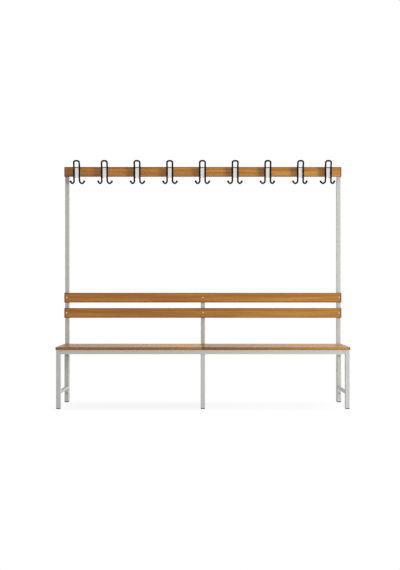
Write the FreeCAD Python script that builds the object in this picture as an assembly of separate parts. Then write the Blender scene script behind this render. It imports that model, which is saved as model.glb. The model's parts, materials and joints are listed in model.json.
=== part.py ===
import FreeCAD, Part
import math
import os

# A single-sided cloakroom bench in millimetres. X runs along the bench, +Y from front to back, +Z up.
# The origin is on the floor, at the middle of the bench's length and depth.

# Timber: one stock for the seat, the back and the hook rail
slat_length = 2000.0
slat_width = 70.0
slat_thickness = 18.0
slat_edge_radius = 2.0

# Seat: slats in two halves that meet over the centre frame
seat_height = 420.0
seat_slat_count = 5
seat_slat_gap = 12.0
seat_joint_gap = 2.0
seat_front_overhang = 5.0
seat_back_clearance = 2.0

# Square steel tube of the frames, rails and posts
tube_side = 30.0
tube_wall = 2.0
tube_corner = 3.0
frame_inset = 3.0
stretcher_side = 20.0
stretcher_corner = 2.0
stretcher_height = 110.0

# Back slats and hook rail: heights of the middle of a slat
lower_slat_height = 642.5
back_slat_gap = 40.0
hook_rail_height = 1661.0
post_top_drop = 6.0

# Plastic feet and caps
foot_height = 6.0
foot_inset = 1.0
foot_edge_radius = 2.0
foot_stem_length = 15.0
cap_thickness = 3.0
cap_edge_radius = 1.5
cap_stem_length = 10.0
stem_clearance = 0.2

# Hook brackets: folded sheet channels with their open side against the rail
bracket_width = 46.0
bracket_height = 68.0
bracket_depth = 31.5
bracket_wall = 2.0
bracket_bend_radius = 3.0
bracket_slot_width = 16.0
bracket_drop = 10.0

# Coat hooks: one bent rod each, a loop above the rail and two cups below it
hook_end_distance = 98.0
hook_end_gap = 199.1
hook_row_shift = -3.0
hooks_each_side = 4
rod_diameter = 12.5
rod_tip_diameter = 16.0
rod_bend_radius = 20.0
rod_seat_clearance = 0.1
leg_spacing = 39.2
loop_radius = 13.4
loop_rise = 36.1
loop_lean = 16.0
bend_margin = 5.0
leg_fall = 28.0
leg_lean = 12.0
cup_radius = 21.0
cup_turn = 45.0
cup_run = 26.0
cup_fall = 12.0
tip_run = 15.4
tip_rise = 20.0

# Bolts through the back slats and posts
slat_bolt_diameter = 6.0
slat_bolt_head_diameter = 16.0
slat_bolt_head_height = 4.0
slat_nut_across_flats = 10.0
slat_nut_height = 5.0

# Bolts through the rear legs and posts, one below the stretcher and one below the rear rail
post_bolt_diameter = 8.0
post_bolt_head_diameter = 14.0
post_bolt_head_height = 4.4
post_bolt_socket = 5.0
post_bolt_socket_depth = 2.4
post_bolt_stretcher_drop = 36.0
post_bolt_rail_drop = 39.0
post_nut_across_flats = 13.0
post_nut_height = 6.5

# Cap nuts: the dome's share of the flats, and how far a bolt enters the nut
nut_dome_share = 0.92
nut_grip = 6.0
nut_hole_spare = 1.0

# Screws from behind the posts into the hook rail
rail_screw_diameter = 6.0
rail_screw_across_flats = 10.0
rail_screw_head_height = 4.0
rail_screw_grip = 14.0
rail_screw_spacing = 26.0

# Screws from behind the hook rail into the hook brackets
hook_screw_diameter = 5.0
hook_screw_head_diameter = 9.5
hook_screw_head_height = 2.8
hook_screw_end = 1.5

# Screws from below the bearers into the seat slats
seat_screw_diameter = 5.0
seat_screw_head_diameter = 10.0
seat_screw_head_height = 2.8
seat_screw_grip = 14.0
seat_screw_edge = 25.0
seat_screw_end_distance = 6.0

# Radial clearances
hole_clearance = 0.3
thread_clearance = 0.1

# Places that follow from the sizes above, with the seat's front edge as zero depth
seat_depth = seat_slat_count * slat_width + (seat_slat_count - 1) * seat_slat_gap
frame_top = seat_height - slat_thickness
front_leg_back = seat_front_overhang + tube_side
post_front = seat_depth + seat_back_clearance
post_back = post_front + tube_side
rear_leg_front = post_front - tube_side
slat_front = post_front - slat_thickness
outer_frame_x = slat_length / 2 - frame_inset - tube_side / 2
upper_slat_height = lower_slat_height + slat_width + back_slat_gap
rail_bottom = hook_rail_height - slat_width / 2
rail_top = hook_rail_height + slat_width / 2
bracket_bottom = rail_bottom - bracket_drop
bracket_top = bracket_bottom + bracket_height
tube_bore = tube_side - 2 * tube_wall
hook_pitch = (slat_length / 2 - hook_end_distance - hook_end_gap) / (hooks_each_side - 1)
stretcher_bottom = stretcher_height - stretcher_side / 2
rear_rail_bottom = frame_top - tube_side
post_bolt_heights = [stretcher_bottom - post_bolt_stretcher_drop, rear_rail_bottom - post_bolt_rail_drop]
post_nut_dome = nut_dome_share * post_nut_across_flats / 2
overall_depth = post_back + post_nut_height + post_nut_dome

FRAMES = {"left": -outer_frame_x, "centre": 0.0, "right": outer_frame_x}
UP = FreeCAD.Vector(0, 0, 1)
DOWN = FreeCAD.Vector(0, 0, -1)
FRONT = FreeCAD.Vector(0, -1, 0)
BACK = FreeCAD.Vector(0, 1, 0)
RIGHT = FreeCAD.Vector(1, 0, 0)


def spot(x, depth, z):
    """Point at a distance behind the seat's front edge, in the bench's own frame."""
    return FreeCAD.Vector(x, depth - overall_depth / 2, z)


def aim(shape, place, direction):
    """Copy of a shape modelled along +Z, stood at a place and turned to a direction."""
    turned = shape.copy()
    turned.Placement = FreeCAD.Placement(place, FreeCAD.Rotation(UP, direction))
    return turned


def rounded_square(side, corner):
    """Closed wire of a square with rounded corners, centred on the origin."""
    half = side / 2
    inner = half - corner
    edges = []
    for quarter in range(4):
        turn = math.radians(90 * quarter)
        cos, sin = math.cos(turn), math.sin(turn)

        def at(x, y):
            return FreeCAD.Vector(x * cos - y * sin, x * sin + y * cos, 0)

        bulge = inner + corner * math.sqrt(0.5)
        edges.append(Part.LineSegment(at(half, -inner), at(half, inner)).toShape())
        edges.append(Part.Arc(at(half, inner), at(bulge, bulge), at(inner, half)).toShape())
    return Part.Wire(edges)


def square_tube(side, wall, corner, length):
    """Square tube along +Z with rounded corners inside and out."""
    outer = Part.Face(rounded_square(side, corner))
    bore_corner = max(corner - wall, wall / 4)
    bore = Part.Face(rounded_square(side - 2 * wall, bore_corner))
    return outer.cut(bore).extrude(UP * length)


def rounded_block(low, high, radius):
    """Block between two corner points with every edge rounded."""
    size = high - low
    block = Part.makeBox(size.x, size.y, size.z, low)
    return block.makeFillet(radius, block.Edges)


def drill(shape, radius, starts, direction, length):
    """Cut round holes of one radius from each start point along a direction."""
    for start in starts:
        shape = shape.cut(Part.makeCylinder(radius, length, start, direction))
    return shape


def spun(points_and_arcs):
    """Solid of revolution about Z from radius and height pairs; two more values are an arc's middle."""
    edges = []
    here = points_and_arcs[0]
    for step in points_and_arcs[1:] + [points_and_arcs[0]]:
        start = FreeCAD.Vector(here[0], 0, here[1])
        end = FreeCAD.Vector(step[0], 0, step[1])
        if len(step) == 4:
            middle = FreeCAD.Vector(step[2], 0, step[3])
            edges.append(Part.Arc(start, middle, end).toShape())
        else:
            edges.append(Part.LineSegment(start, end).toShape())
        here = step
    return Part.Face(Part.Wire(edges)).revolve(FreeCAD.Vector(0, 0, 0), UP, 360)


def domed_bolt(head_diameter, head_height, diameter, length):
    """Bolt along -Z with a domed head whose underside is at zero height."""
    head = head_diameter / 2
    shank = diameter / 2
    sphere = (head ** 2 + head_height ** 2) / (2 * head_height)
    middle_x = head / 2
    middle_z = head_height - sphere + math.sqrt(sphere ** 2 - middle_x ** 2)
    return spun([
        (0, -length),
        (shank, -length),
        (shank, 0),
        (head, 0),
        (0, head_height, middle_x, middle_z),
    ])


def hexagon(across_flats, height):
    """Hexagonal prism along +Z."""
    radius = across_flats / math.sqrt(3)
    corners = []
    for corner in range(7):
        turn = math.radians(60 * corner)
        corners.append(FreeCAD.Vector(radius * math.cos(turn), radius * math.sin(turn), 0))
    return Part.Face(Part.makePolygon(corners)).extrude(UP * height)


def cap_nut(across_flats, height, bolt_diameter):
    """Domed nut along +Z with a blind hole for the end of its bolt."""
    dome = Part.makeSphere(nut_dome_share * across_flats / 2, FreeCAD.Vector(0, 0, height))
    under = Part.makeBox(across_flats, across_flats, across_flats,
                         FreeCAD.Vector(-across_flats / 2, -across_flats / 2, -across_flats))
    nut = hexagon(across_flats, height).fuse(dome.cut(under)).removeSplitter()
    hole = Part.makeCylinder(bolt_diameter / 2 + thread_clearance, nut_grip + nut_hole_spare)
    return nut.cut(hole)


def pointed_screw(head, diameter, length):
    """Screw along +Z under a given head, whose top face is at zero height, with a cone point."""
    shank = diameter / 2
    return head.fuse(spun([(0, 0), (shank, 0), (shank, length - diameter), (0, length)]))


def pan_head(diameter, height):
    """Low round screw head below zero height, rounded on its outer edge."""
    radius = diameter / 2
    curve = height / 2
    inside = radius - curve
    bulge = curve * math.sqrt(0.5)
    return spun([
        (0, 0),
        (0, -height),
        (inside, -height),
        (radius, -curve, inside + bulge, -curve - bulge),
        (radius, 0),
    ])


def rounded_path(points, radii):
    """Wire of straight runs through points, each inner corner rounded by a tangent arc."""
    edges = []
    here = points[0]
    for before, corner, after, radius in zip(points, points[1:], points[2:], radii):
        inward = (before - corner).normalize()
        outward = (after - corner).normalize()
        turn = math.pi - inward.getAngle(outward)
        reach = radius * math.tan(turn / 2)
        start = corner + inward * reach
        end = corner + outward * reach
        bisector = (inward + outward).normalize()
        middle = corner + bisector * (radius / math.cos(turn / 2) - radius)
        edges.append(Part.LineSegment(here, start).toShape())
        edges.append(Part.Arc(start, middle, end).toShape())
        here = end
    edges.append(Part.LineSegment(here, points[-1]).toShape())
    return Part.Wire(edges)


def hook_centres():
    """X of each hook: an even pitch from the row's middle, and a last hook near each end of the rail."""
    half = [step * hook_pitch for step in range(1, hooks_each_side)]
    half.append(slat_length / 2 - hook_end_distance)
    row = [-x for x in reversed(half)] + [0.0] + half
    return [x + hook_row_shift for x in row]


def bracket_screw_offset():
    """Distance from a hook's middle to the middle of a bracket flange's flat inside."""
    return (bracket_slot_width / 2 + bracket_width / 2 - bracket_wall) / 2


def seat_screw_depths():
    """Depth of the screw in each seat slat: the slat's middle, kept off the bearer's ends."""
    first = front_leg_back + seat_screw_edge
    last = rear_leg_front - seat_screw_edge
    depths = []
    for index in range(seat_slat_count):
        middle = index * (slat_width + seat_slat_gap) + slat_width / 2
        depths.append(min(max(middle, first), last))
    return depths


def seat_screw_columns():
    """X of each column of seat screws, one by one from left to right."""
    near_joint = seat_joint_gap / 2 + seat_screw_end_distance
    return [-outer_frame_x, -near_joint, near_joint, outer_frame_x]


def post_top(side):
    """Height of the tube end of a back post, just below the top edge of what it carries."""
    carried = upper_slat_height if side == "centre" else hook_rail_height
    return carried + slat_width / 2 - post_top_drop


def rail_screw_heights():
    """Heights of the screws that hold the hook rail on a post."""
    return [hook_rail_height - rail_screw_spacing / 2, hook_rail_height + rail_screw_spacing / 2]


def leg_top(side):
    """Height of a leg's tube end: outer legs reach the seat, centre legs end under the rails."""
    return frame_top - tube_side if side == "centre" else frame_top


def tube_upright(x, front, top):
    """Standing tube on its foot plug, with its front face at a given depth."""
    tube = square_tube(tube_side, tube_wall, tube_corner, top - foot_height)
    return aim(tube, spot(x, front + tube_side / 2, foot_height), UP)


def rear_leg(side, x):
    """Rear leg with the holes of the bolts that hold its back post."""
    leg = tube_upright(x, rear_leg_front, leg_top(side))
    starts = [spot(x, rear_leg_front - tube_wall, z) for z in post_bolt_heights]
    return drill(leg, post_bolt_diameter / 2 + hole_clearance, starts, BACK, tube_side + 2 * tube_wall)


def back_post(side, x):
    """Back post with the holes for its leg bolts, slat bolts and hook rail screws."""
    through = tube_side + 2 * tube_wall
    post = tube_upright(x, post_front, post_top(side))
    leg_starts = [spot(x, post_front - tube_wall, z) for z in post_bolt_heights]
    post = drill(post, post_bolt_diameter / 2 + hole_clearance, leg_starts, BACK, through)
    slat_starts = [spot(x, post_front - tube_wall, z) for z in (lower_slat_height, upper_slat_height)]
    post = drill(post, slat_bolt_diameter / 2 + hole_clearance, slat_starts, BACK, through)
    if side == "centre":
        return post
    rail_starts = [spot(x, post_front - tube_wall, z) for z in rail_screw_heights()]
    return drill(post, rail_screw_diameter / 2 + hole_clearance, rail_starts, BACK, through)


def seat_bearer(x):
    """Tube from front to back under the seat, with the seat screws' holes."""
    bearer = square_tube(tube_side, tube_wall, tube_corner, rear_leg_front - front_leg_back)
    bearer = aim(bearer, spot(x, front_leg_back, frame_top - tube_side / 2), BACK)
    columns = [c for c in seat_screw_columns() if abs(c - x) < tube_side / 2]
    starts = [spot(c, depth, frame_top - tube_side - tube_wall)
              for c in columns for depth in seat_screw_depths()]
    radius = seat_screw_diameter / 2 + hole_clearance
    return drill(bearer, radius, starts, UP, tube_side + 2 * tube_wall)


def stretcher(side, x):
    """Thin tube low between the legs, flush with the legs' inner sides on the outer frames."""
    shift = {"left": 1, "centre": 0, "right": -1}[side] * (tube_side - stretcher_side) / 2
    tube = square_tube(stretcher_side, tube_wall, stretcher_corner, rear_leg_front - front_leg_back)
    return aim(tube, spot(x + shift, front_leg_back, stretcher_height), BACK)


def seat_rail(front):
    """Long tube under the seat between the outer legs, flush with them and over the centre leg."""
    start_x = -outer_frame_x + tube_side / 2
    tube = square_tube(tube_side, tube_wall, tube_corner, -2 * start_x)
    return aim(tube, spot(start_x, front + tube_side / 2, frame_top - tube_side / 2), RIGHT)


def seat_slat(half, index):
    """One slat of a seat half, with blind holes from below for its screws."""
    reach = sorted([half * seat_joint_gap / 2, half * slat_length / 2])
    front = index * (slat_width + seat_slat_gap)
    slat = rounded_block(spot(reach[0], front, frame_top),
                         spot(reach[1], front + slat_width, seat_height), slat_edge_radius)
    columns = [c for c in seat_screw_columns() if c * half > 0]
    starts = [spot(c, seat_screw_depths()[index], frame_top) for c in columns]
    radius = seat_screw_diameter / 2 + thread_clearance
    return drill(slat, radius, starts, UP, seat_screw_grip + thread_clearance)


def upright_slat(height):
    """Full-length slat on the posts' front faces, with its middle at a height."""
    return rounded_block(spot(-slat_length / 2, slat_front, height - slat_width / 2),
                         spot(slat_length / 2, post_front, height + slat_width / 2), slat_edge_radius)


def back_slat(height):
    """Back slat with a bolt hole at each post."""
    starts = [spot(x, slat_front, height) for x in FRAMES.values()]
    radius = slat_bolt_diameter / 2 + hole_clearance
    return drill(upright_slat(height), radius, starts, BACK, slat_thickness)


def hook_rail():
    """Hook rail with through holes for the bracket screws and blind holes for the post screws."""
    offset = bracket_screw_offset()
    through = [spot(x + side * offset, slat_front, hook_rail_height)
               for x in hook_centres() for side in (-1, 1)]
    rail = drill(upright_slat(hook_rail_height), hook_screw_diameter / 2 + hole_clearance,
                 through, BACK, slat_thickness)
    blind = [spot(x, post_front, z) for x in (-outer_frame_x, outer_frame_x) for z in rail_screw_heights()]
    return drill(rail, rail_screw_diameter / 2 + thread_clearance, blind, FRONT,
                 rail_screw_grip + thread_clearance)


def hook_bracket(x):
    """Folded sheet channel on the hook rail's front face, open at the back between two flanges."""
    front = slat_front - bracket_depth
    half = bracket_width / 2
    shell = Part.makeBox(bracket_width, bracket_depth, bracket_height,
                         spot(x - half, front, bracket_bottom))
    shell = shell.makeFillet(bracket_bend_radius, standing_edges(shell))
    hollow = Part.makeBox(bracket_width - 2 * bracket_wall, bracket_depth - 2 * bracket_wall, bracket_height,
                          spot(x - half + bracket_wall, front + bracket_wall, bracket_bottom))
    hollow = hollow.makeFillet(bracket_bend_radius - bracket_wall, standing_edges(hollow))
    slot = Part.makeBox(bracket_slot_width, 2 * bracket_wall, bracket_height,
                        spot(x - bracket_slot_width / 2, slat_front - 2 * bracket_wall, bracket_bottom))
    offset = bracket_screw_offset()
    starts = [spot(x + side * offset, slat_front, hook_rail_height) for side in (-1, 1)]
    return drill(shell.cut(hollow).cut(slot), hook_screw_diameter / 2 + thread_clearance,
                 starts, FRONT, 2 * bracket_wall)


def standing_edges(block):
    """Edges of a block that run along Z."""
    return [edge for edge in block.Edges if abs(edge.tangentAt(edge.FirstParameter).z) > 0.5]


def coat_hook(x):
    """Bent rod: a loop that leans forward above the rail and two cups that turn out and back below it."""
    half = leg_spacing / 2
    leg = slat_front - bracket_depth - rod_seat_clearance - rod_diameter / 2
    swing = math.radians(cup_turn)
    low_bend = bracket_bottom - bend_margin
    right_side = [
        (half, leg - loop_lean, rail_top + loop_rise),
        (half, leg, bracket_top + bend_margin),
        (half, leg, low_bend),
        (half, leg + leg_lean, low_bend - leg_fall),
        (half + cup_run * math.cos(swing),
         leg + leg_lean + cup_run * math.sin(swing),
         low_bend - leg_fall - cup_fall),
        (half + (cup_run + tip_run) * math.cos(swing),
         leg + leg_lean + (cup_run + tip_run) * math.sin(swing),
         low_bend - leg_fall - cup_fall + tip_rise),
    ]
    points = [spot(x - px, depth, z) for px, depth, z in reversed(right_side)]
    points += [spot(x + px, depth, z) for px, depth, z in right_side]
    side_radii = [loop_radius, rod_bend_radius, rod_bend_radius, cup_radius, cup_radius]
    path = rounded_path(points, side_radii[::-1] + side_radii)
    ring = Part.Wire(Part.makeCircle(rod_diameter / 2, points[0], points[1] - points[0]))
    rod = path.makePipeShell([ring], True, False)
    for tip in (points[0], points[-1]):
        rod = rod.fuse(Part.makeSphere(rod_tip_diameter / 2, tip))
    return rod


def foot_plug(x, front):
    """Foot under a tube: a pad with a rounded edge and a stem that fills the tube's end."""
    side = tube_side - 2 * foot_inset
    pad = Part.Face(rounded_square(side, tube_corner)).extrude(UP * foot_height)
    bottom = [edge for edge in pad.Edges if edge.BoundBox.ZMax < foot_height / 2]
    pad = pad.makeFillet(foot_edge_radius, bottom)
    plug = pad.fuse(plug_stem(foot_stem_length, UP).translated(UP * foot_height))
    return aim(plug.removeSplitter(), spot(x, front + tube_side / 2, 0), UP)


def plug_stem(length, direction):
    """Stem that slides into a tube's bore."""
    side = tube_bore - 2 * stem_clearance
    corner = max(tube_corner - tube_wall, tube_wall / 4)
    return Part.Face(rounded_square(side, corner)).extrude(direction * length)


def post_cap(side, x):
    """Flat cap on a post's tube end with its stem inside."""
    plate = Part.Face(rounded_square(tube_side, tube_corner)).extrude(UP * cap_thickness)
    top = [edge for edge in plate.Edges if edge.BoundBox.ZMin > cap_thickness / 2]
    plate = plate.makeFillet(cap_edge_radius, top)
    cap = plate.fuse(plug_stem(cap_stem_length, DOWN)).removeSplitter()
    return aim(cap, spot(x, post_front + tube_side / 2, post_top(side)), UP)


def post_bolts():
    """Domed bolts with hexagon sockets that hold each post to its rear leg."""
    length = 2 * tube_side + nut_grip
    bolt = domed_bolt(post_bolt_head_diameter, post_bolt_head_height, post_bolt_diameter, length)
    socket = hexagon(post_bolt_socket, post_bolt_socket_depth)
    bolt = bolt.cut(socket.translated(UP * (post_bolt_head_height - post_bolt_socket_depth)))
    return [aim(bolt, spot(x, rear_leg_front, z), FRONT) for x in FRAMES.values() for z in post_bolt_heights]


def post_bolt_nuts():
    """Cap nuts of the post bolts, behind the posts."""
    nut = cap_nut(post_nut_across_flats, post_nut_height, post_bolt_diameter)
    return [aim(nut, spot(x, post_back, z), BACK) for x in FRAMES.values() for z in post_bolt_heights]


def slat_bolts():
    """Domed bolts through the back slats and posts."""
    length = slat_thickness + tube_side + nut_grip
    bolt = domed_bolt(slat_bolt_head_diameter, slat_bolt_head_height, slat_bolt_diameter, length)
    return [aim(bolt, spot(x, slat_front, z), FRONT)
            for x in FRAMES.values() for z in (lower_slat_height, upper_slat_height)]


def slat_bolt_nuts():
    """Cap nuts of the slat bolts, behind the posts."""
    nut = cap_nut(slat_nut_across_flats, slat_nut_height, slat_bolt_diameter)
    return [aim(nut, spot(x, post_back, z), BACK)
            for x in FRAMES.values() for z in (lower_slat_height, upper_slat_height)]


def hook_rail_screws():
    """Hexagon-headed screws through the outer posts into the back of the hook rail."""
    head = hexagon(rail_screw_across_flats, rail_screw_head_height).translated(DOWN * rail_screw_head_height)
    screw = pointed_screw(head, rail_screw_diameter, tube_side + rail_screw_grip)
    return [aim(screw, spot(x, post_back, z), FRONT)
            for x in (-outer_frame_x, outer_frame_x) for z in rail_screw_heights()]


def hook_screws():
    """Pan-headed screws through the hook rail into the bracket flanges."""
    length = slat_thickness + bracket_wall + hook_screw_end
    shank = Part.makeCylinder(hook_screw_diameter / 2, length)
    screw = pan_head(hook_screw_head_diameter, hook_screw_head_height).fuse(shank)
    offset = bracket_screw_offset()
    return [aim(screw, spot(x + side * offset, post_front, hook_rail_height), FRONT)
            for x in hook_centres() for side in (-1, 1)]


def seat_screws():
    """Pan-headed screws through the bearers into the seat slats."""
    head = pan_head(seat_screw_head_diameter, seat_screw_head_height)
    screw = pointed_screw(head, seat_screw_diameter, tube_side + seat_screw_grip)
    return [aim(screw, spot(x, depth, frame_top - tube_side), UP)
            for x in seat_screw_columns() for depth in seat_screw_depths()]


def all_nodes():
    """Every sub-part of the bench by name; a list is a group of like pieces."""
    nodes = {}
    for side, x in FRAMES.items():
        nodes[side + "_front_leg"] = tube_upright(x, seat_front_overhang, leg_top(side))
        nodes[side + "_rear_leg"] = rear_leg(side, x)
        nodes[side + "_back_post"] = back_post(side, x)
        nodes[side + "_seat_bearer"] = seat_bearer(x)
        nodes[side + "_stretcher"] = stretcher(side, x)
    nodes["front_rail"] = seat_rail(seat_front_overhang)
    nodes["rear_rail"] = seat_rail(rear_leg_front)
    for side, half in (("left", -1), ("right", 1)):
        for index in range(seat_slat_count):
            nodes["%s_seat_slat_%d" % (side, index + 1)] = seat_slat(half, index)
    nodes["lower_back_slat"] = back_slat(lower_slat_height)
    nodes["upper_back_slat"] = back_slat(upper_slat_height)
    nodes["hook_rail"] = hook_rail()
    for number, x in enumerate(hook_centres(), 1):
        nodes["coat_hook_%d" % number] = coat_hook(x)
        nodes["hook_bracket_%d" % number] = hook_bracket(x)
    fronts = (seat_front_overhang, rear_leg_front, post_front)
    nodes["foot_plugs"] = [foot_plug(x, front) for x in FRAMES.values() for front in fronts]
    nodes["post_caps"] = [post_cap(side, x) for side, x in FRAMES.items()]
    nodes["post_bolts"] = post_bolts()
    nodes["post_bolt_nuts"] = post_bolt_nuts()
    nodes["slat_bolts"] = slat_bolts()
    nodes["slat_bolt_nuts"] = slat_bolt_nuts()
    nodes["hook_rail_screws"] = hook_rail_screws()
    nodes["hook_screws"] = hook_screws()
    nodes["seat_screws"] = seat_screws()
    return nodes


os.makedirs("parts", exist_ok=True)
for name, piece in all_nodes().items():
    shape = Part.makeCompound(piece) if isinstance(piece, list) else piece
    print(name, "solids", len(shape.Solids), "valid", shape.isValid(), "volume", round(shape.Volume))
    shape.exportStep("parts/%s.step" % name)
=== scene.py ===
"""Looks of the cloakroom bench: boards, coat hooks, painted tube, welds, fasteners, studio and camera.

Lengths are metres, apart from the values whose names end in mm.
"""

import json
import logging
import math
from abc import ABC, abstractmethod
from dataclasses import dataclass
from enum import Enum
from typing import NamedTuple

import bpy
import numpy as np
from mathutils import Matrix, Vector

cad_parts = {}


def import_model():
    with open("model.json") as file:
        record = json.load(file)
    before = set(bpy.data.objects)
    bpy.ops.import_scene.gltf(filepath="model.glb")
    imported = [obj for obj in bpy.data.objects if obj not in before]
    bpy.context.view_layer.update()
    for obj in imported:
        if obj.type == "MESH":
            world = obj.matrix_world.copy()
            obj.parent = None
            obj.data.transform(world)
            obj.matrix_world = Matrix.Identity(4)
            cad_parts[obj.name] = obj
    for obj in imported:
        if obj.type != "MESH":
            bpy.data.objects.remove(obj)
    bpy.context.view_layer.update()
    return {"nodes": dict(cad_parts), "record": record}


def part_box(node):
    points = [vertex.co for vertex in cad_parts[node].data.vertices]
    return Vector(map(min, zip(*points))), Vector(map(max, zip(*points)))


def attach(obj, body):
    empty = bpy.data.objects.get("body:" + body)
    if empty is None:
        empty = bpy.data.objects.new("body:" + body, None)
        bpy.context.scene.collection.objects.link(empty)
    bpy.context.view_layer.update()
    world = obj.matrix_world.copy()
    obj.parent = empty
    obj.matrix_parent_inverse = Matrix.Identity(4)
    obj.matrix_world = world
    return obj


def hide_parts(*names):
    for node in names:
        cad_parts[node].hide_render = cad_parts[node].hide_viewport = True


LOG = logging.getLogger("cloakroom_bench")
BODY = "root"
MM = 0.001

# Directions along the bench, towards its back, and up
X_WAY, Y_WAY, Z_WAY = np.eye(3)

# Colour sockets of a Mix node, by number because other sockets share their names
MIX_A = 6
MIX_B = 7
MIX_RESULT = 2

# Distance between the rings of a wave texture whose scale is one
WAVE_PERIOD = math.pi / 10

Colour = tuple[float, float, float, float]
Tree = bpy.types.NodeTree
Socket = bpy.types.NodeSocket


class Surface(NamedTuple):
    """Mesh as arrays: vertices, faces of four and of three corners, and the vertices' outward normals."""

    vertices: np.ndarray
    quads: np.ndarray
    triangles: np.ndarray
    normals: np.ndarray


class Slot(Enum):
    """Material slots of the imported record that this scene's pieces use."""

    FRAME = "frame_paint"
    BRACKET = "bracket_paint"
    SEAT = "seat_timber"
    BACK = "back_timber"
    HOOK = "hook_coating"
    FOOT = "foot_plastic"
    BOLT = "bolt_steel"
    BRASS = "bolt_brass"


def linear(hex_colour: str) -> Colour:
    """Turn an sRGB hex colour into the linear RGBA that shader sockets hold.

    Args:
        hex_colour: Colour such as "#C5C7C4".

    Returns:
        Linear red, green, blue and an alpha of one.
    """
    channels = np.array([int(hex_colour[at:at + 2], 16) for at in (1, 3, 5)]) / 255.0
    toe = channels / 12.92
    curve = ((channels + 0.055) / 1.055) ** 2.4
    return (*np.where(channels <= 0.04045, toe, curve).tolist(), 1.0)


def bare_tree(block: bpy.types.Material | bpy.types.World) -> Tree:
    """Turn on the nodes of a material or world.

    Args:
        block: Material or world.

    Returns:
        Its node tree, with nothing in it.
    """
    block.use_nodes = True
    block.node_tree.nodes.clear()
    return block.node_tree


def add_node(
    tree: Tree,
    kind: str,
    settings: dict | None = None,
    values: dict | None = None,
    links: dict | None = None,
) -> bpy.types.Node:
    """Add one shader node.

    Args:
        tree: Node tree that takes the node.
        kind: Blender's name of the node type.
        settings: Properties of the node by name.
        values: Socket values by socket name, or by number where names repeat.
        links: Sockets that feed the node, by the name or number of the socket that they enter.

    Returns:
        The new node.
    """
    node = tree.nodes.new(kind)
    for name, value in (settings or {}).items():
        setattr(node, name, value)
    for socket, value in (values or {}).items():
        node.inputs[socket].default_value = value
    for socket, source in (links or {}).items():
        tree.links.new(source, node.inputs[socket])
    return node


@dataclass(frozen=True)
class Finish(ABC):
    """A surface finish that becomes one node material.

    Colours are sRGB hex values and pattern sizes are millimetres. The shine is the shader's specular
    level, and the swing is how far the roughness rises where the finish's pattern is high.
    """

    name: str
    colour: str
    roughness: float
    shine: float = 0.5
    roughness_swing: float = 0.05

    def material(self) -> bpy.types.Material:
        """Make the finish's node material.

        Returns:
            A material with a Principled shader that dress() has completed.
        """
        made = bpy.data.materials.new(self.name)
        tree = bare_tree(made)
        shader = add_node(
            tree,
            "ShaderNodeBsdfPrincipled",
            values={
                "Base Color": linear(self.colour),
                "Roughness": self.roughness,
                "Specular IOR Level": self.shine,
            },
        )
        add_node(tree, "ShaderNodeOutputMaterial", links={"Surface": shader.outputs[0]})
        self.dress(tree, shader)
        return made

    @abstractmethod
    def dress(self, tree: Tree, shader: bpy.types.Node) -> None:
        """Add the finish's own pattern nodes to the shader.

        Args:
            tree: Node tree of the material.
            shader: Its Principled shader.
        """

    def vary_gloss(self, tree: Tree, shader: bpy.types.Node, pattern: Socket) -> None:
        """Let the roughness swing about its value with a pattern.

        Args:
            tree: Node tree of the material.
            shader: Its Principled shader.
            pattern: Socket with a value from zero to one.
        """
        gloss = add_node(
            tree,
            "ShaderNodeMapRange",
            values={
                "To Min": self.roughness - self.roughness_swing,
                "To Max": self.roughness + self.roughness_swing,
            },
            links={"Value": pattern},
        )
        tree.links.new(gloss.outputs[0], shader.inputs["Roughness"])


@dataclass(frozen=True)
class PowderCoat(Finish):
    """Baked polyester powder on steel: satin, with a faint orange peel and a fine cloud in the tone."""

    roughness_swing: float = 0.06
    silver: float = 0.0
    cloud_colour: str = "#BFC1BE"
    cloud_mm: float = 60.0
    peel_mm: float = 1.6
    peel_depth_mm: float = 0.03
    peel_strength: float = 0.5

    def dress(self, tree: Tree, shader: bpy.types.Node) -> None:
        """Cloud the colour and roughness, bump the peel, and set the share of metal flake.

        Args:
            tree: Node tree of the material.
            shader: Its Principled shader.
        """
        shader.inputs["Metallic"].default_value = self.silver
        place = add_node(tree, "ShaderNodeTexCoord").outputs["Object"]
        cloud = add_node(
            tree,
            "ShaderNodeTexNoise",
            values={"Scale": 1 / (self.cloud_mm * MM), "Detail": 3.0, "Roughness": 0.6},
            links={"Vector": place},
        ).outputs[0]
        tone = add_node(
            tree,
            "ShaderNodeMix",
            settings={"data_type": "RGBA"},
            values={MIX_A: linear(self.colour), MIX_B: linear(self.cloud_colour)},
            links={"Factor": cloud},
        )
        peel = add_node(
            tree,
            "ShaderNodeTexNoise",
            values={"Scale": 1 / (self.peel_mm * MM), "Detail": 1.0},
            links={"Vector": place},
        )
        bump = add_node(
            tree,
            "ShaderNodeBump",
            values={"Strength": self.peel_strength, "Distance": self.peel_depth_mm * MM},
            links={"Height": peel.outputs[0]},
        )
        tree.links.new(tone.outputs[MIX_RESULT], shader.inputs["Base Color"])
        tree.links.new(bump.outputs[0], shader.inputs["Normal"])
        self.vary_gloss(tree, shader, cloud)


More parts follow.
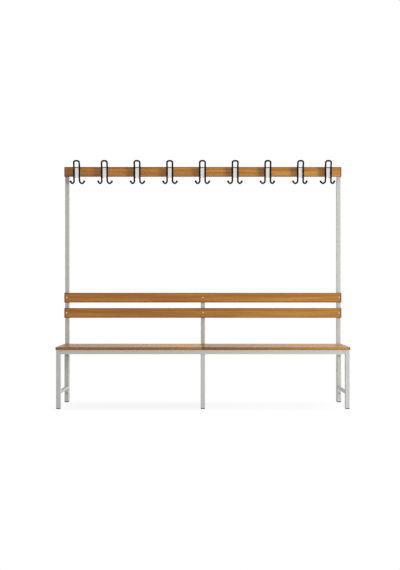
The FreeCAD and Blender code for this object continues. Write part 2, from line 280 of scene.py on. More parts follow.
@dataclass(frozen=True)
class StainedBeech(Finish):
    """Planed beech, stained honey brown and lacquered.

    Long soft streaks run with the grain, and the pale ones are smoother. Growth rings show as bands on
    the faces and as arcs on the ends, and short dark flecks lie along the grain. Rings and flecks are
    drawn a little coarser than life, so that they show from a step away. The sawn sides are darkened
    with painted shade, the ends darker still, and so is a narrow band of the faces beside them.

    A mark's mm pair is its length and width, and its range is the two noise values between which it
    comes in. The edge and end shade pairs are the two depths between which the painted shade fades.
    """

    roughness_swing: float = -0.08
    dark_colour: str = "#A7702B"
    streak_mm: tuple[float, float] = (520.0, 13.0)
    streak_octaves: float = 4.0
    streak_range: tuple[float, float] = (0.36, 0.66)
    ring_mm: float = 6.0
    ring_stretch: float = 25.0
    ring_waviness: float = 5.0
    ring_wave_scale: float = 0.35
    ring_strength: float = 0.34
    fleck_colour: str = "#6E4218"
    fleck_mm: tuple[float, float] = (9.0, 0.7)
    fleck_octaves: float = 1.0
    fleck_range: tuple[float, float] = (0.60, 0.74)
    fleck_strength: float = 0.55
    fleck_depth_mm: float = 0.12
    bump_strength: float = 0.6
    edge_shade_tint: str = "#E2DFDC"
    edge_shade_mm: tuple[float, float] = (0.0, 9.0)
    end_shade_tint: str = "#C4BCB4"
    end_shade_mm: tuple[float, float] = (6.0, 14.0)

    def dress(self, tree: Tree, shader: bpy.types.Node) -> None:
        """Colour, bump and gloss the timber by its place in the log that it was sawn from.

        Args:
            tree: Node tree of the material.
            shader: Its Principled shader.
        """
        place = add_node(tree, "ShaderNodeTexCoord").outputs["Object"]
        sawn = add_node(tree, "ShaderNodeAttribute", settings={"attribute_name": "log_place"})
        log = add_node(
            tree,
            "ShaderNodeVectorMath",
            settings={"operation": "ADD"},
            links={0: place, 1: sawn.outputs["Vector"]},
        ).outputs[0]
        streak = self.stretched_noise(tree, log, self.streak_mm, self.streak_octaves)
        fleck = self.flecks(tree, log)
        end, side = self.depths(tree, place)
        layers = (
            ("MIX", self.rings(tree, log), self.dark_colour),
            ("MIX", fleck, self.fleck_colour),
            # Painted shade: darker along the sawn sides and darker still at the ends
            ("MULTIPLY", self.painted_shade_share(tree, side, self.edge_shade_mm), self.edge_shade_tint),
            ("MULTIPLY", self.painted_shade_share(tree, end, self.end_shade_mm), self.end_shade_tint),
        )
        colour = self.streaked(tree, streak)
        for blend, share, layer_colour in layers:
            colour = add_node(
                tree,
                "ShaderNodeMix",
                settings={"data_type": "RGBA", "blend_type": blend},
                values={MIX_B: linear(layer_colour)},
                links={"Factor": share, MIX_A: colour},
            ).outputs[MIX_RESULT]
        bump = add_node(
            tree,
            "ShaderNodeBump",
            settings={"invert": True},
            values={"Strength": self.bump_strength, "Distance": self.fleck_depth_mm * MM},
            links={"Height": fleck},
        )
        tree.links.new(self.with_tone_and_shade(tree, colour), shader.inputs["Base Color"])
        tree.links.new(bump.outputs[0], shader.inputs["Normal"])
        self.vary_gloss(tree, shader, streak)

    def streaked(self, tree: Tree, streak: Socket) -> Socket:
        """Colour of the timber's streaks, from dark to pale.

        Args:
            tree: Node tree of the material.
            streak: Socket with the streaks' noise.

        Returns:
            The colour socket.
        """
        pale = add_node(
            tree,
            "ShaderNodeMapRange",
            settings={"interpolation_type": "SMOOTHSTEP"},
            values={"From Min": self.streak_range[0], "From Max": self.streak_range[1]},
            links={"Value": streak},
        )
        return add_node(
            tree,
            "ShaderNodeMix",
            settings={"data_type": "RGBA"},
            values={MIX_A: linear(self.dark_colour), MIX_B: linear(self.colour)},
            links={"Factor": pale.outputs[0]},
        ).outputs[MIX_RESULT]

    def rings(self, tree: Tree, log: Socket) -> Socket:
        """Growth rings round the log's middle line, which waver slowly along it.

        Args:
            tree: Node tree of the material.
            log: Socket with the place in the log, in metres.

        Returns:
            Socket that rises from zero to the rings' strength through each year's growth.
        """
        slow = add_node(
            tree,
            "ShaderNodeMapping",
            values={"Scale": (1 / self.ring_stretch, 1.0, 1.0)},
            links={"Vector": log},
        )
        ring = add_node(
            tree,
            "ShaderNodeTexWave",
            settings={"wave_type": "RINGS", "rings_direction": "X", "wave_profile": "SAW"},
            values={
                "Scale": WAVE_PERIOD / (self.ring_mm * MM),
                "Distortion": self.ring_waviness,
                "Detail": 2.0,
                "Detail Scale": self.ring_wave_scale,
            },
            links={"Vector": slow.outputs[0]},
        )
        return add_node(
            tree,
            "ShaderNodeMapRange",
            values={"To Max": self.ring_strength},
            links={"Value": ring.outputs["Fac"]},
        ).outputs[0]

    def flecks(self, tree: Tree, log: Socket) -> Socket:
        """Short flecks along the grain.

        Args:
            tree: Node tree of the material.
            log: Socket with the place in the log, in metres.

        Returns:
            Socket that is zero between the flecks and the flecks' strength in them.
        """
        noise = self.stretched_noise(tree, log, self.fleck_mm, self.fleck_octaves)
        return add_node(
            tree,
            "ShaderNodeMapRange",
            settings={"interpolation_type": "SMOOTHSTEP"},
            values={
                "From Min": self.fleck_range[0],
                "From Max": self.fleck_range[1],
                "To Max": self.fleck_strength,
            },
            links={"Value": noise},
        ).outputs[0]

    @staticmethod
    def with_tone_and_shade(tree: Tree, colour: Socket) -> Socket:
        """Colour times each board's tint: painted shade, darker towards its left end, and its own random
        tone.

        Args:
            tree: Node tree of the material.
            colour: Socket with the colour.

        Returns:
            The tinted colour socket.
        """
        tone_and_shade_mark = add_node(tree, "ShaderNodeAttribute", settings={"attribute_name": "board_tone_and_shade"})
        return add_node(
            tree,
            "ShaderNodeMix",
            settings={"data_type": "RGBA", "blend_type": "MULTIPLY"},
            values={"Factor": 1.0},
            links={MIX_A: colour, MIX_B: tone_and_shade_mark.outputs["Color"]},
        ).outputs[MIX_RESULT]

    @staticmethod
    def depths(tree: Tree, place: Socket) -> tuple[Socket, Socket]:
        """How far a place lies inside its board.

        Each distance is the board's reach less the distance from its middle.

        Args:
            tree: Node tree of the material.
            place: Socket with the place in metres.

        Returns:
            Sockets with the distance from the nearer end and from the nearest sawn side, in metres.
        """
        middle = add_node(tree, "ShaderNodeAttribute", settings={"attribute_name": "board_middle"})
        reach = add_node(tree, "ShaderNodeAttribute", settings={"attribute_name": "board_reach"})
        aside = add_node(
            tree,
            "ShaderNodeVectorMath",
            settings={"operation": "SUBTRACT"},
            links={0: place, 1: middle.outputs["Vector"]},
        )
        distance = add_node(
            tree, "ShaderNodeVectorMath", settings={"operation": "ABSOLUTE"}, links={0: aside.outputs[0]}
        )
        inside = add_node(
            tree,
            "ShaderNodeVectorMath",
            settings={"operation": "SUBTRACT"},
            links={0: reach.outputs["Vector"], 1: distance.outputs[0]},
        )
        ways = add_node(tree, "ShaderNodeSeparateXYZ", links={0: inside.outputs[0]})
        side = add_node(
            tree,
            "ShaderNodeMath",
            settings={"operation": "MINIMUM"},
            links={0: ways.outputs["Y"], 1: ways.outputs["Z"]},
        )
        return ways.outputs["X"], side.outputs[0]

    @staticmethod
    def painted_shade_share(tree: Tree, depth: Socket, fade_mm: tuple[float, float]) -> Socket:
        """How strong the painted shade is: one at a sawn surface, fading out to none with depth.

        Args:
            tree: Node tree of the material.
            depth: Socket with the distance from the sawn surface in metres.
            fade_mm: Depths at which the fade starts and ends.

        Returns:
            The factor socket.
        """
        return add_node(
            tree,
            "ShaderNodeMapRange",
            settings={"interpolation_type": "SMOOTHSTEP"},
            values={
                "From Min": fade_mm[0] * MM,
                "From Max": fade_mm[1] * MM,
                "To Min": 1.0,
                "To Max": 0.0,
            },
            links={"Value": depth},
        ).outputs[0]

    @staticmethod
    def stretched_noise(tree: Tree, log: Socket, size_mm: tuple[float, float], octaves: float) -> Socket:
        """Noise drawn out along the grain.

        Args:
            tree: Node tree of the material.
            log: Socket with the place in the log, in metres.
            size_mm: Length of a feature along X, and its width across the grain.
            octaves: Octaves of the noise.

        Returns:
            The noise's factor socket.
        """
        length_mm, width_mm = size_mm
        across = 1 / (width_mm * MM)
        scaled = add_node(
            tree,
            "ShaderNodeMapping",
            values={"Scale": (1 / (length_mm * MM), across, across)},
            links={"Vector": log},
        )
        noise = add_node(
            tree,
            "ShaderNodeTexNoise",
            values={"Scale": 1.0, "Detail": octaves, "Roughness": 0.55},
            links={"Vector": scaled.outputs[0]},
        )
        return noise.outputs[0]


@dataclass(frozen=True)
class MouldedPlastic(Finish):
    """Black plastic, dipped on the hooks and moulded on the feet: a faint grain, coarser than in life."""

    grain_mm: float = 0.8
    grain_depth_mm: float = 0.012
    grain_strength: float = 0.5

    def dress(self, tree: Tree, shader: bpy.types.Node) -> None:
        """Vary the gloss and bump the grain.

        Args:
            tree: Node tree of the material.
            shader: Its Principled shader.
        """
        place = add_node(tree, "ShaderNodeTexCoord").outputs["Object"]
        grain = add_node(
            tree,
            "ShaderNodeTexNoise",
            values={"Scale": 1 / (self.grain_mm * MM), "Detail": 2.0},
            links={"Vector": place},
        ).outputs[0]
        bump = add_node(
            tree,
            "ShaderNodeBump",
            values={"Strength": self.grain_strength, "Distance": self.grain_depth_mm * MM},
            links={"Height": grain},
        )
        tree.links.new(bump.outputs[0], shader.inputs["Normal"])
        self.vary_gloss(tree, shader, grain)


@dataclass(frozen=True)
class PlatedSteel(Finish):
    """Plated fastener steel: metal with a soft mottle from the plating bath."""

    roughness_swing: float = 0.08
    mottle_colour: str = "#A9ABAE"
    mottle_mm: float = 2.5

    def dress(self, tree: Tree, shader: bpy.types.Node) -> None:
        """Mottle the plating's colour and gloss.

        Args:
            tree: Node tree of the material.
            shader: Its Principled shader.
        """
        shader.inputs["Metallic"].default_value = 1.0
        place = add_node(tree, "ShaderNodeTexCoord").outputs["Object"]
        mottle = add_node(
            tree,
            "ShaderNodeTexNoise",
            values={"Scale": 1 / (self.mottle_mm * MM), "Detail": 3.0},
            links={"Vector": place},
        ).outputs[0]
        tone = add_node(
            tree,
            "ShaderNodeMix",
            settings={"data_type": "RGBA"},
            values={MIX_A: linear(self.colour), MIX_B: linear(self.mottle_colour)},
            links={"Factor": mottle},
        )
        tree.links.new(tone.outputs[MIX_RESULT], shader.inputs["Base Color"])
        self.vary_gloss(tree, shader, mottle)


FINISHES: dict[Slot, Finish] = {
    Slot.FRAME: PowderCoat("powder_coated_tube", "#C9C9C7", 0.42, shine=0.3, cloud_colour="#C2C2C0"),
    # Aluminium flake in the powder, so the brackets look paler and more metallic than the tube
    Slot.BRACKET: PowderCoat(
        "silver_coated_bracket", "#E8EAEC", 0.36, cloud_colour="#E0E2E4", silver=0.75
    ),
    # The seat is a little paler and smoother than the back
    Slot.SEAT: StainedBeech("stained_beech_seat", "#D69F47", 0.36, shine=0.4, dark_colour="#B1782F"),
    # The back's painted shade darkens a band along its top and bottom edges
    Slot.BACK: StainedBeech(
        "stained_beech_back", "#CB9541", 0.42, edge_shade_tint="#C8C1BA", edge_shade_mm=(3.0, 9.0)
    ),
    Slot.HOOK: MouldedPlastic("dipped_plastic_hook", "#080809", 0.46, shine=0.12),
    Slot.FOOT: MouldedPlastic("moulded_plastic_foot", "#0A0A0B", 0.56, shine=0.15, grain_mm=1.2),
    Slot.BOLT: PlatedSteel("zinc_plated_steel", "#A3A5A8", 0.4, mottle_colour="#8B8D90"),
    # Yellow passivation over zinc looks like dull brass
    Slot.BRASS: PlatedSteel("yellow_passivated_steel", "#EFC890", 0.64, mottle_colour="#DDB47C"),
}


class Paintbox:
    """Makes each finish's material once and lays it on nodes and new pieces."""

    def __init__(self) -> None:
        """Make every material."""
        self.materials = {slot: finish.material() for slot, finish in FINISHES.items()}

    def dress_node(self, node: bpy.types.Object, slot: Slot) -> None:
        """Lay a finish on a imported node.

        Args:
            node: Object of the node.
            slot: Its material slot.
        """
        node.data.materials.clear()
        node.data.materials.append(self.materials[slot])
        LOG.info("dressed %s with %s", node.name, FINISHES[slot].name)

    def new_piece(self, name: str, surface: Surface, slot: Slot, nodes: list[str]) -> bpy.types.Object:
        """Make a mesh piece that rides on the bench.

        Args:
            name: Name of the piece.
            surface: Its vertices, faces and normals.
            slot: Material slot whose finish it takes.
            nodes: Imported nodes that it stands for.

        Returns:
            The new object, at the origin.
        """
        faces = surface.quads.tolist() + surface.triangles.tolist()
        mesh = bpy.data.meshes.new(name)
        mesh.from_pydata(surface.vertices.tolist(), [], faces)
        mesh.validate()
        mesh.shade_smooth()
        mesh.normals_split_custom_set_from_vertices(surface.normals.tolist())
        mesh.materials.append(self.materials[slot])
        piece = bpy.data.objects.new(name, mesh)
        bpy.context.collection.objects.link(piece)
        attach(piece, BODY)
        if nodes:
            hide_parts(*nodes)
        LOG.info("built %s: %d vertices", name, len(surface.vertices))
        return piece


def unit(vectors: np.ndarray) -> np.ndarray:
    """Scale each row vector of an array to length one."""
    return vectors / np.linalg.norm(vectors, axis=-1, keepdims=True)


def ring_faces(rings: int, sides: int) -> np.ndarray:
    """Quads between the neighbouring closed rings of a swept grid.

    Args:
        rings: Number of rings, stored one after the other.
        sides: Vertices in a ring.

    Returns:
        Vertex numbers of each quad, one a row.
    """
    ring, side = np.meshgrid(np.arange(rings - 1), np.arange(sides), indexing="ij")
    here = ring * sides + side
    beside = ring * sides + (side + 1) % sides
    return np.stack([here, beside, beside + sides, here + sides], axis=-1).reshape(-1, 4)


def board_surface(low: np.ndarray, high: np.ndarray, radius: float, steps: int) -> Surface:
    """Board along X with every edge rounded by a ball of one radius.

    A point on the rounded part is a corner of the box, drawn in by the radius, plus the radius times
    (sin p, cos p cos t, cos p sin t). The tilt p runs from one end to the other and the turn t runs
    round the section, so the same three numbers are the outward normal. Each end is closed by a flat
    rectangle and a rim between it and the last ring.

    Args:
        low: Lowest corner of the board.
        high: Highest corner of the board.
        radius: Radius of the rounded edges.
        steps: Steps in a quarter turn.

    Returns:
        The board's surface.
    """
    quarter = np.linspace(0.0, np.pi / 2, steps + 1)
    turn = (np.arange(4)[:, None] * np.pi / 2 + quarter).ravel()
    tilt = np.concatenate([quarter[1:] - np.pi / 2, quarter[:-1]])[:, None]
    sides = len(turn)
    corner = np.array([[1, 1], [-1, 1], [-1, -1], [1, -1]])
    side = np.repeat(corner, steps + 1, axis=0)
    end = np.repeat([-1.0, 1.0], steps)[:, None]
    centre = (low + high) / 2
    half = (high - low) / 2 - radius
    deep, up = np.cos(tilt) * np.cos(turn), np.cos(tilt) * np.sin(turn)
    normals = np.stack(np.broadcast_arrays(np.sin(tilt), deep, up), axis=-1).reshape(-1, 3)
    base = np.stack(np.broadcast_arrays(end, side[:, 0], side[:, 1]), axis=-1).reshape(-1, 3) * half
    rings = centre + base + radius * normals
    ways = np.repeat([-1.0, 1.0], len(corner))
    caps = centre + np.column_stack([ways * (half[0] + radius), np.tile(corner, (2, 1)) * half[1:]])
    here = np.arange(sides)
    following = (here + 1) % sides
    quads = [ring_faces(len(tilt), sides)]
    triangles = []
    plan = ((0, len(rings), 1), (len(rings) - sides, len(rings) + len(corner), -1))
    for ring, cap, order in plan:
        inner, inner_following = cap + here // (steps + 1), cap + following // (steps + 1)
        rim = np.column_stack([ring + here, inner, inner_following, ring + following])
        fan = inner == inner_following
        quads += [rim[~fan][:, ::order], cap + np.array([[0, 3, 2, 1]])[:, ::order]]
        triangles.append(rim[fan][:, [0, 1, 3]][:, ::order])
    return Surface(
        np.concatenate([rings, caps]),
        np.concatenate(quads),
        np.concatenate(triangles),
        np.concatenate([normals, ways[:, None] * X_WAY]),
    )


def filleted_path(points: np.ndarray, radii: list[float], step: float) -> np.ndarray:
    """Polyline through points with each inner corner replaced by a tangent arc.

    The arc at a corner starts radius * tan(turn / 2) before it and turns at the steady radius.

    Args:
        points: Corner points, one a row.
        radii: Radius at each inner corner.
        step: Greatest angle between points of an arc, in radians.

    Returns:
        Points of the rounded line.
    """
    stretches = [points[:1]]
    for before, corner, after, radius in zip(points, points[1:], points[2:], radii):
        inward, outward = unit(before - corner), unit(after - corner)
        turn = math.pi - math.acos(float(np.dot(inward, outward)))
        reach = radius * math.tan(turn / 2)
        middle = corner + unit(inward + outward) * radius / math.cos(turn / 2)
        start = corner + inward * reach - middle
        angle = np.linspace(0.0, turn, max(2, math.ceil(turn / step)))[:, None]
        stretches.append(middle + start * np.cos(angle) - inward * radius * np.sin(angle))
    stretches.append(points[-1:])
    return np.concatenate(stretches)


def path_length(path: np.ndarray) -> np.ndarray:
    """Distance along a polyline to each of its points."""
    return np.concatenate([[0.0], np.cumsum(np.linalg.norm(np.diff(path, axis=0), axis=1))])


def along(path: np.ndarray, places: np.ndarray) -> np.ndarray:
    """Points of a polyline at given distances from its start."""
    length = path_length(path)
    return np.column_stack([np.interp(places, length, path[:, axis]) for axis in range(3)])


def swept_rod(path: np.ndarray, radii: np.ndarray, across: np.ndarray, sides: int) -> Surface:
    """Round rod of changing radius along a path, closed by a point at each end.

    A ring is the path's point plus the radius times (cos t, sin t) in the plane square to the path,
    whose first direction is square to both the path and a fixed direction across it.

    Args:
        path: Points of the middle line.
        radii: Radius at each point; the first and last are taken as zero.
        across: Direction that the path is never parallel to.
        sides: Sides of the rod.

    Returns:
        The rod's surface.
    """
    heading = unit(np.gradient(path, axis=0))
    first = unit(np.cross(heading, across))
    second = np.cross(heading, first)
    turn = np.linspace(0.0, 2 * np.pi, sides, endpoint=False)[None, :, None]
    spokes = np.cos(turn) * first[:, None] + np.sin(turn) * second[:, None]
    slope = np.gradient(radii, path_length(path))
    normals = unit(spokes - slope[:, None, None] * heading[:, None])[1:-1].reshape(-1, 3)
    rings = (path[:, None] + radii[:, None, None] * spokes)[1:-1].reshape(-1, 3)
    start, end = len(rings), len(rings) + 1
    last = len(rings) - sides
    here = np.arange(sides)
    following = (here + 1) % sides
    triangles = [
        np.column_stack([following, here, np.full(sides, start)]),
        np.column_stack([last + here, last + following, np.full(sides, end)]),
    ]
    return Surface(
        np.concatenate([rings, path[:1], path[-1:]]),
        ring_faces(len(rings) // sides, sides),
        np.concatenate(triangles),
        np.concatenate([normals, -heading[:1], heading[-1:]]),
    )


def joined(surfaces: list[Surface]) -> Surface:
    """Put several surfaces into one, with their vertices in order.

    Args:
        surfaces: Surfaces to join.

    Returns:
        One surface, each of whose face numbers is moved on by the vertices before its own.
    """
    starts = np.cumsum([0] + [len(surface.vertices) for surface in surfaces[:-1]])
    return Surface(
        np.concatenate([surface.vertices for surface in surfaces]),
        np.concatenate([surface.quads + start for surface, start in zip(surfaces, starts)]),
        np.concatenate([surface.triangles + start for surface, start in zip(surfaces, starts)]),
        np.concatenate([surface.normals for surface in surfaces]),
    )


def node_box(node: str) -> tuple[np.ndarray, np.ndarray]:
    """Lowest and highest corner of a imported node, as arrays in metres."""
    low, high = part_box(node)
    return np.array(low), np.array(high)


@dataclass
class Timber:
    """Seat slats, back slats and hook rail: planed boards, each sawn from its own place in a log.

    The ends are painted shade: the tints of a board's left and right end, with the left end darker. The
    pith distance is how far a board lies from the log's middle line, and the log is so long that no two
    boards share a stretch of it.
    """

    paintbox: Paintbox
    edge_radius: float = 2.0 * MM
    edge_steps: int = 6
    tone_swing: float = 0.04
    pith_distance: float = 0.055
    log_length: float = 40.0
    # Painted shade: each board is darker towards its left end, away from the lamps on the right
    seat_shade_ends: tuple[str, str] = ("#CEC5CB", "#FFFFFF")
    back_shade_ends: tuple[str, str] = ("#F3DFDA", "#FFFFFF")
    past_faces: float = 1.0
    seed: int = 11
    seat_nodes: tuple[str, ...] = tuple(
        f"{side}_seat_slat_{number}" for side in ("left", "right") for number in range(1, 6)
    )
    back_nodes: tuple[str, ...] = ("lower_back_slat", "upper_back_slat", "hook_rail")

    def build(self) -> None:
        """Replace each slat by a board with rounded edges and its own grain."""
        rng = np.random.default_rng(self.seed)
        plan = (
            (Slot.SEAT, self.seat_nodes, self.seat_shade_ends),
            (Slot.BACK, self.back_nodes, self.back_shade_ends),
        )
        for slot, nodes, ends in plan:
            for node in nodes:
                surface = board_surface(*node_box(node), self.edge_radius, self.edge_steps)
                name = node.replace("slat", "board") + "_timber"
                board = self.paintbox.new_piece(name, surface, slot, [node])
                self.saw(board, surface.vertices, ends, rng)

    def saw(
        self,
        board: bpy.types.Object,
        vertices: np.ndarray,
        ends: tuple[str, str],
        rng: np.random.Generator,
    ) -> None:
        """Give a board its place in the log, its reach, and its tint of painted shade and random tone, as
        attributes that the finish reads.

        The reach is half the board's size, but past the board across its thickness, so that its two faces
        don't count as sawn sides. The tint is painted shade that blends evenly from the darker colour of
        the left end to that of the right end, times the board's own random tone.

        Args:
            board: Board to mark.
            vertices: Its vertices.
            ends: Painted shade tint of the left end and of the right end.
            rng: Seeded source of the places and tones.
        """
        turn = rng.uniform(0.0, 2 * np.pi)
        along_log = rng.uniform(0.0, self.log_length)
        tone = rng.uniform(-1.0, 1.0)
        low, high = vertices.min(axis=0), vertices.max(axis=0)
        middle = (low + high) / 2
        reach = (high - low) / 2
        reach[np.argmin(reach)] = self.past_faces
        pith = self.pith_distance * np.array([0.0, math.cos(turn), math.sin(turn)])
        shift = pith - middle + along_log * X_WAY
        for name, value in (("log_place", shift), ("board_middle", middle), ("board_reach", reach)):
            mark = board.data.attributes.new(name, "FLOAT_VECTOR", "POINT")
            mark.data.foreach_set("vector", np.tile(value, len(vertices)))
        # Painted shade, blended from the left end's tint to the right end's, times the board's random
        # tone
        share = ((vertices[:, 0] - low[0]) / (high[0] - low[0]))[:, None]
        blend = (1 - share) * np.array(linear(ends[0])) + share * np.array(linear(ends[1]))
        blend[:, :3] *= 1.0 + self.tone_swing * tone
        tone_and_shade_mark = board.data.attributes.new("board_tone_and_shade", "FLOAT_COLOR", "POINT")
        tone_and_shade_mark.data.foreach_set("color", blend.ravel())


@dataclass
class CoatHooks:
    """Nine double hooks of dipped rod on folded brackets.

    A bead's rings run from its tip to the angle bead_end past its middle, where the rod takes over.
    """

    paintbox: Paintbox
    count: int = 9
    rod_radius: float = 6.25 * MM
    tip_radius: float = 8.0 * MM
    bend_radius: float = 20.0 * MM
    seat_gap: float = 0.1 * MM
    leg_spacing: float = 39.2 * MM
    loop_radius: float = 13.4 * MM
    loop_rise: float = 48.1 * MM
    loop_lean: float = 16.0 * MM
    bend_margin: float = 5.0 * MM
    leg_fall: float = 28.0 * MM
    leg_lean: float = 12.0 * MM
    cup_radius: float = 21.0 * MM
    cup_turn: float = math.radians(45.0)
    cup_run: float = 26.0 * MM
    cup_fall: float = 12.0 * MM
    tip_run: float = 15.4 * MM
    tip_rise: float = 20.0 * MM
    ring_step: float = 1.5 * MM
    arc_step: float = math.radians(4.0)
    bead_rings: int = 16
    bead_end: float = math.radians(-60.0)
    sides: int = 20

    def build(self) -> None:
        """Sweep each hook's rod in front of its bracket."""
        for number in range(1, self.count + 1):
            surface = self.rod(*node_box(f"hook_bracket_{number}"))
            name = f"coat_hook_rod_{number}"
            self.paintbox.new_piece(name, surface, Slot.HOOK, [f"coat_hook_{number}"])

    def corners(self, low: np.ndarray, high: np.ndarray) -> np.ndarray:
        """Corner points of a rod's middle line, from one tip over the loop to the other.

        Args:
            low: Lowest corner of the hook's bracket.
            high: Highest corner of the hook's bracket.

        Returns:
            Twelve points, one a row.
        """
        half = self.leg_spacing / 2
        leg = low[1] - self.seat_gap - self.rod_radius
        low_bend = low[2] - self.bend_margin
        foot = low_bend - self.leg_fall
        foot_depth = leg + self.leg_lean
        cup = foot - self.cup_fall
        out, back = math.cos(self.cup_turn), math.sin(self.cup_turn)
        reach = self.cup_run + self.tip_run
        right = np.array([
            [half, leg - self.loop_lean, high[2] + self.loop_rise],
            [half, leg, high[2] + self.bend_margin],
            [half, leg, low_bend],
            [half, foot_depth, foot],
            [half + self.cup_run * out, foot_depth + self.cup_run * back, cup],
            [half + reach * out, foot_depth + reach * back, cup + self.tip_rise],
        ])
        middle = (low[0] + high[0]) / 2 * X_WAY
        return np.concatenate([right[::-1] * [-1, 1, 1], right]) + middle

    def rod(self, low: np.ndarray, high: np.ndarray) -> Surface:
        """Rod of one hook, with a bead of coating at each tip.

        The bead's radius is sqrt(R^2 - d^2), where d is the distance along the rod from the bead's
        middle. Towards the tip that is the whole shape, and elsewhere the radius is the greater of that
        and the rod's.

        Args:
            low: Lowest corner of the hook's bracket.
            high: Highest corner of the hook's bracket.

        Returns:
            The rod's surface.
        """
        points = self.corners(low, high)
        points[[0, -1]] += self.tip_radius * unit(points[[0, -1]] - points[[1, -2]])
        side_radii = [self.loop_radius] + 2 * [self.bend_radius] + 2 * [self.cup_radius]
        path = filleted_path(points, side_radii[::-1] + side_radii, self.arc_step)
        total = path_length(path)[-1]
        bead = self.tip_radius * (1 - np.sin(np.linspace(np.pi / 2, self.bead_end, self.bead_rings)))
        plain = np.arange(bead[-1], total - bead[-1], self.ring_step)[1:]
        places = np.concatenate([bead, plain, total - bead[::-1]])
        tipward = self.tip_radius - np.minimum(places, total - places)
        ball = np.sqrt(np.clip(self.tip_radius ** 2 - tipward ** 2, 0.0, None))
        radii = np.where(tipward > 0, ball, np.maximum(ball, self.rod_radius))
        return swept_rod(along(path, places), radii, Y_WAY, self.sides)


@dataclass
class Welds:
    """Weld beads under the paint, where a tube's end meets another tube's side."""

    paintbox: Paintbox
    radius: float = 2.2 * MM
    ripple: float = 0.10
    ripple_pitch: float = 2.4 * MM
    ring_step: float = 0.6 * MM
    inset: float = 2.0 * MM
    corner_radius: float = 2.0 * MM
    arc_step: float = math.radians(15.0)
    sides: int = 10

    def build(self) -> None:
        """Bead the joints of each frame and of the two long rails."""
        for side in ("left", "centre", "right"):
            beads = self.bearer_beads(side) + self.stretcher_beads(side)
            self.paintbox.new_piece(f"{side}_frame_welds", joined(beads), Slot.FRAME, [])
        beads = self.rail_beads("front_rail", 1) + self.rail_beads("rear_rail", -1)
        beads += [self.leg_bead("centre_front_leg", 1), self.leg_bead("centre_rear_leg", -1)]
        self.paintbox.new_piece("rail_welds", joined(beads), Slot.FRAME, [])

    def bead(self, points: np.ndarray, across: np.ndarray) -> Surface:
        """Rippled bead along a line with rounded corners.

        The radius is r * (1 + ripple * sin(2 pi s / pitch)) at distance s, and falls to nothing at both
        ends as a quarter circle does.

        Args:
            points: Corner points of the line.
            across: Direction that the line is never parallel to.

        Returns:
            The bead's surface.
        """
        path = filleted_path(points, [self.corner_radius] * (len(points) - 2), self.arc_step)
        total = path_length(path)[-1]
        places = np.linspace(0.0, total, math.ceil(total / self.ring_step))
        wave = 1 + self.ripple * np.sin(2 * np.pi * places / self.ripple_pitch)
        near = np.clip(np.minimum(places, total - places) / self.radius, 0.0, 1.0)
        radii = self.radius * wave * np.sqrt(1 - (1 - near) ** 2)
        return swept_rod(along(path, places), radii, across, self.sides)

    def bearer_beads(self, side: str) -> list[Surface]:
        """Bead in the corner under each end of a seat bearer.

        Args:
            side: Name of the frame.

        Returns:
            A surface for each bead.
        """
        low, high = node_box(f"{side}_seat_bearer")
        ends = [low[0] + self.inset, high[0] - self.inset]
        return [
            self.bead(np.array([[x, y, low[2]] for x in ends]), Y_WAY)
            for y in (low[1], high[1])
        ]

    def stretcher_beads(self, side: str) -> list[Surface]:
        """Bead round the three open sides of each end of a stretcher.

        Args:
            side: Name of the frame.

        Returns:
            A surface for each bead.
        """
        low, high = node_box(f"{side}_stretcher")
        near, far = (low[0], high[0]) if side == "right" else (high[0], low[0])
        outline = [(near, low[2]), (far, low[2]), (far, high[2]), (near, high[2])]
        return [
            self.bead(np.array([[x, y, z] for x, z in outline]), Y_WAY)
            for y in (low[1], high[1])
        ]

    def rail_beads(self, node: str, way: int) -> list[Surface]:
        """Bead under each end of a long rail and up its side towards the bearers.

        Args:
            node: Name of the rail.
            way: One where that side is the rail's back, minus one where it is its front.

        Returns:
            A surface for each bead.
        """
        low, high = node_box(node)
        shut, free = (low[1], high[1]) if way > 0 else (high[1], low[1])
        outline = [(shut + way * self.inset, low[2]), (free, low[2]), (free, high[2] - self.inset)]
        return [
            self.bead(np.array([[x, y, z] for y, z in outline]), X_WAY)
            for x in (low[0], high[0])
        ]

    def leg_bead(self, node: str, way: int) -> Surface:
        """Bead round three sides of a centre leg's top, under its rail.

        Args:
            node: Name of the leg.
            way: One where the side without a bead is the leg's front, minus one where it is its back.

        Returns:
            The bead's surface.
        """
        low, high = node_box(node)
        shut, free = (low[1], high[1]) if way > 0 else (high[1], low[1])
        start = shut + way * self.inset
        outline = [(low[0], start), (low[0], free), (high[0], free), (high[0], start)]
        return self.bead(np.array([[x, y, high[2]] for x, y in outline]), Z_WAY)


@dataclass(frozen=True)
class Softbox:
    """Square soft lamp: its place, the point that it faces, the length of its side and its power."""

    name: str
    place: tuple[float, float, float]
    aim: tuple[float, float, float]
    side: float
    power: float

    def build(self) -> None:
        """Hang the lamp and turn it to its aim."""
        light = bpy.data.lights.new(self.name, "AREA")
        light.size = self.side
        light.energy = self.power
        lamp = bpy.data.objects.new(self.name, light)
        lamp.location = self.place
        east, north, up = np.array(self.aim) - np.array(self.place)
        tilt = math.atan2(math.hypot(east, north), -up)
        lamp.rotation_euler = (tilt, 0.0, math.atan2(north, east) - math.pi / 2)
        # Mirrored in the lacquer, a low lamp would burn out the seat in views from the other side
        lamp.visible_glossy = False
        bpy.context.collection.objects.link(lamp)


